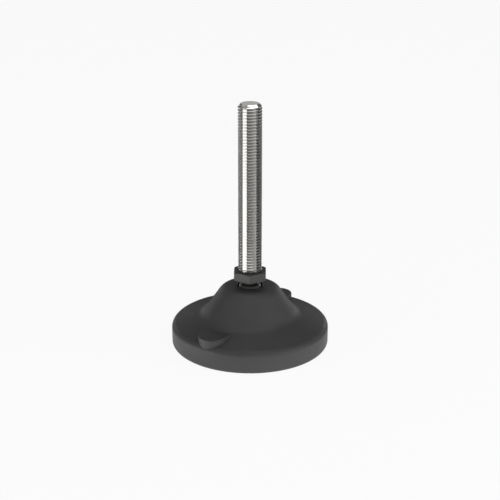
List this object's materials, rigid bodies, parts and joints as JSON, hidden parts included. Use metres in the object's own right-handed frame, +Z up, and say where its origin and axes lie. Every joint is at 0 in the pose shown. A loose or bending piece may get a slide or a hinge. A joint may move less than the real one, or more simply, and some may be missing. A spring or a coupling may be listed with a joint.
{
  "type": "articulated levelling foot",
  "caption": "Articulated levelling foot: round moulded base with a flared hub and fixing lugs, a ball joint with a hexagon, and an upright threaded stud.",
  "frame": {"origin": "centre of the base's underside, on the floor", "axes": "+Z up along the stud; the two fixing lugs lie close to the X axis, each turned a little towards +Y"},
  "size_m": [0.08, 0.08, 0.1247],
  "materials": {
    "base_plastic": "matte black moulded polyamide",
    "plug_plastic": "smooth dark acetal",
    "hex_plastic": "satin dark grey polyamide",
    "stainless_steel": "bright stainless steel, rolled thread"
  },
  "bodies": {
    "foot": {"foot_base": "base_plastic"},
    "bearing": {"thrust_plug": "plug_plastic"},
    "stud": {"ball_hex": "hex_plastic", "threaded_stud": "stainless_steel"}
  },
  "joints": [
    {"name": "stud_turn", "type": "hinge", "parent": "foot", "child": "bearing", "pos_m": [0, 0, 0.0257], "axis": [0, 0, 1], "continuous": true},
    {"name": "ball_tilt", "type": "hinge", "parent": "bearing", "child": "stud", "pos_m": [0, 0, 0.0257], "axis": [1, 0, 0], "range_deg": [-15, 15]}
  ]
}
